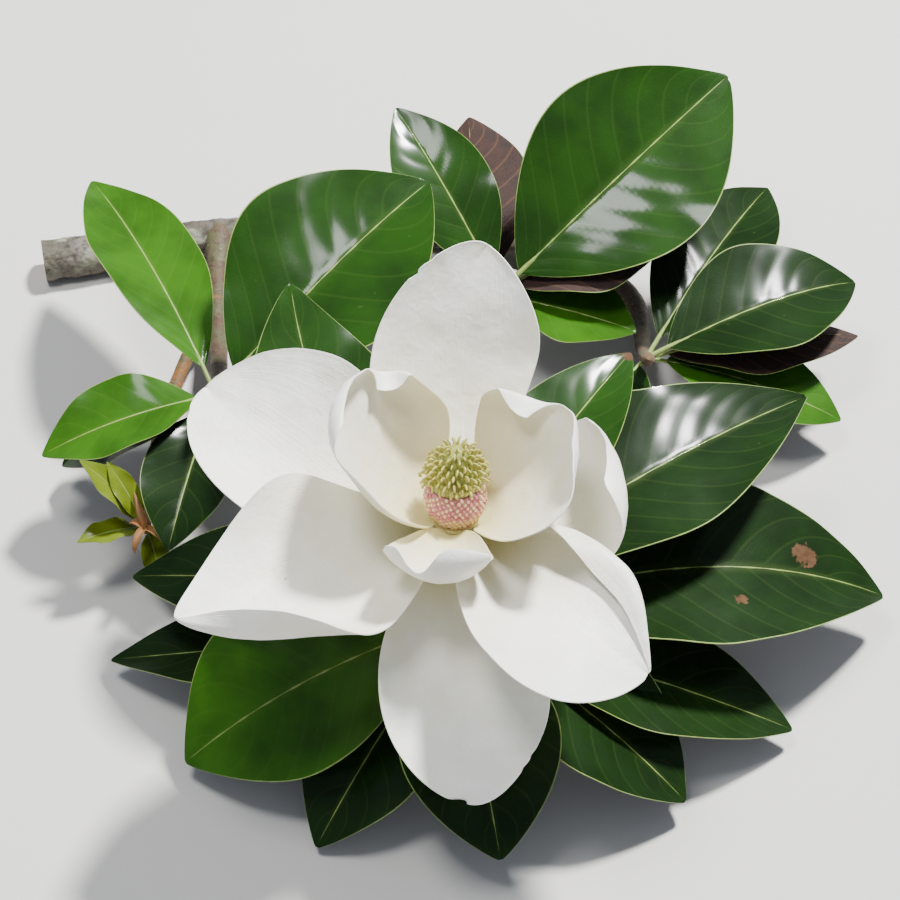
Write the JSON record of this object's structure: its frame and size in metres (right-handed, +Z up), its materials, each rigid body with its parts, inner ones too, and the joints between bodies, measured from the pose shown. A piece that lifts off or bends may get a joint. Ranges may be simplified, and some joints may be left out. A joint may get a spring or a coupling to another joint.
{
  "type": "cut flowering branch of magnolia",
  "caption": "Cut flowering branch of a large-flowered evergreen magnolia: a wide open white bloom over glossy leaves, lying down, its limb sawn off square.",
  "frame": {"origin": "middle of the branch's bounding box, on the level surface it lies on", "axes": "+Z up; the bloom faces up and towards -Y; the sawn end of the limb is towards -X"},
  "size_m": [0.4308, 0.439, 0.1806],
  "materials": {
    "limb_bark": "rough grey bark",
    "shoot_bark": "smooth green-brown bark",
    "leaf_mass": "glossy leathery leaves",
    "receptacle": "matt plant tissue",
    "stamen_band": "matt plant tissue",
    "carpel_cone": "matt plant tissue",
    "tepal": "soft waxy petal"
  },
  "bodies": {
    "root": {"limb": "limb_bark", "bloom_shoot": "shoot_bark", "left_shoot": "shoot_bark", "young_shoot": "shoot_bark", "top_shoot": "shoot_bark", "right_shoot": "shoot_bark", "bloom_leaves": "leaf_mass", "left_leaves": "leaf_mass", "young_leaves": "leaf_mass", "top_leaves": "leaf_mass", "right_leaves": "leaf_mass", "receptacle": "receptacle", "stamen_band": "stamen_band", "carpel_cone": "carpel_cone", "tepal_outer_front": "tepal", "tepal_outer_left": "tepal", "tepal_outer_right": "tepal", "tepal_middle_back": "tepal", "tepal_middle_left": "tepal", "tepal_middle_right": "tepal", "tepal_inner_left": "tepal", "tepal_inner_right": "tepal", "tepal_inner_front": "tepal"}
  },
  "joints": []
}
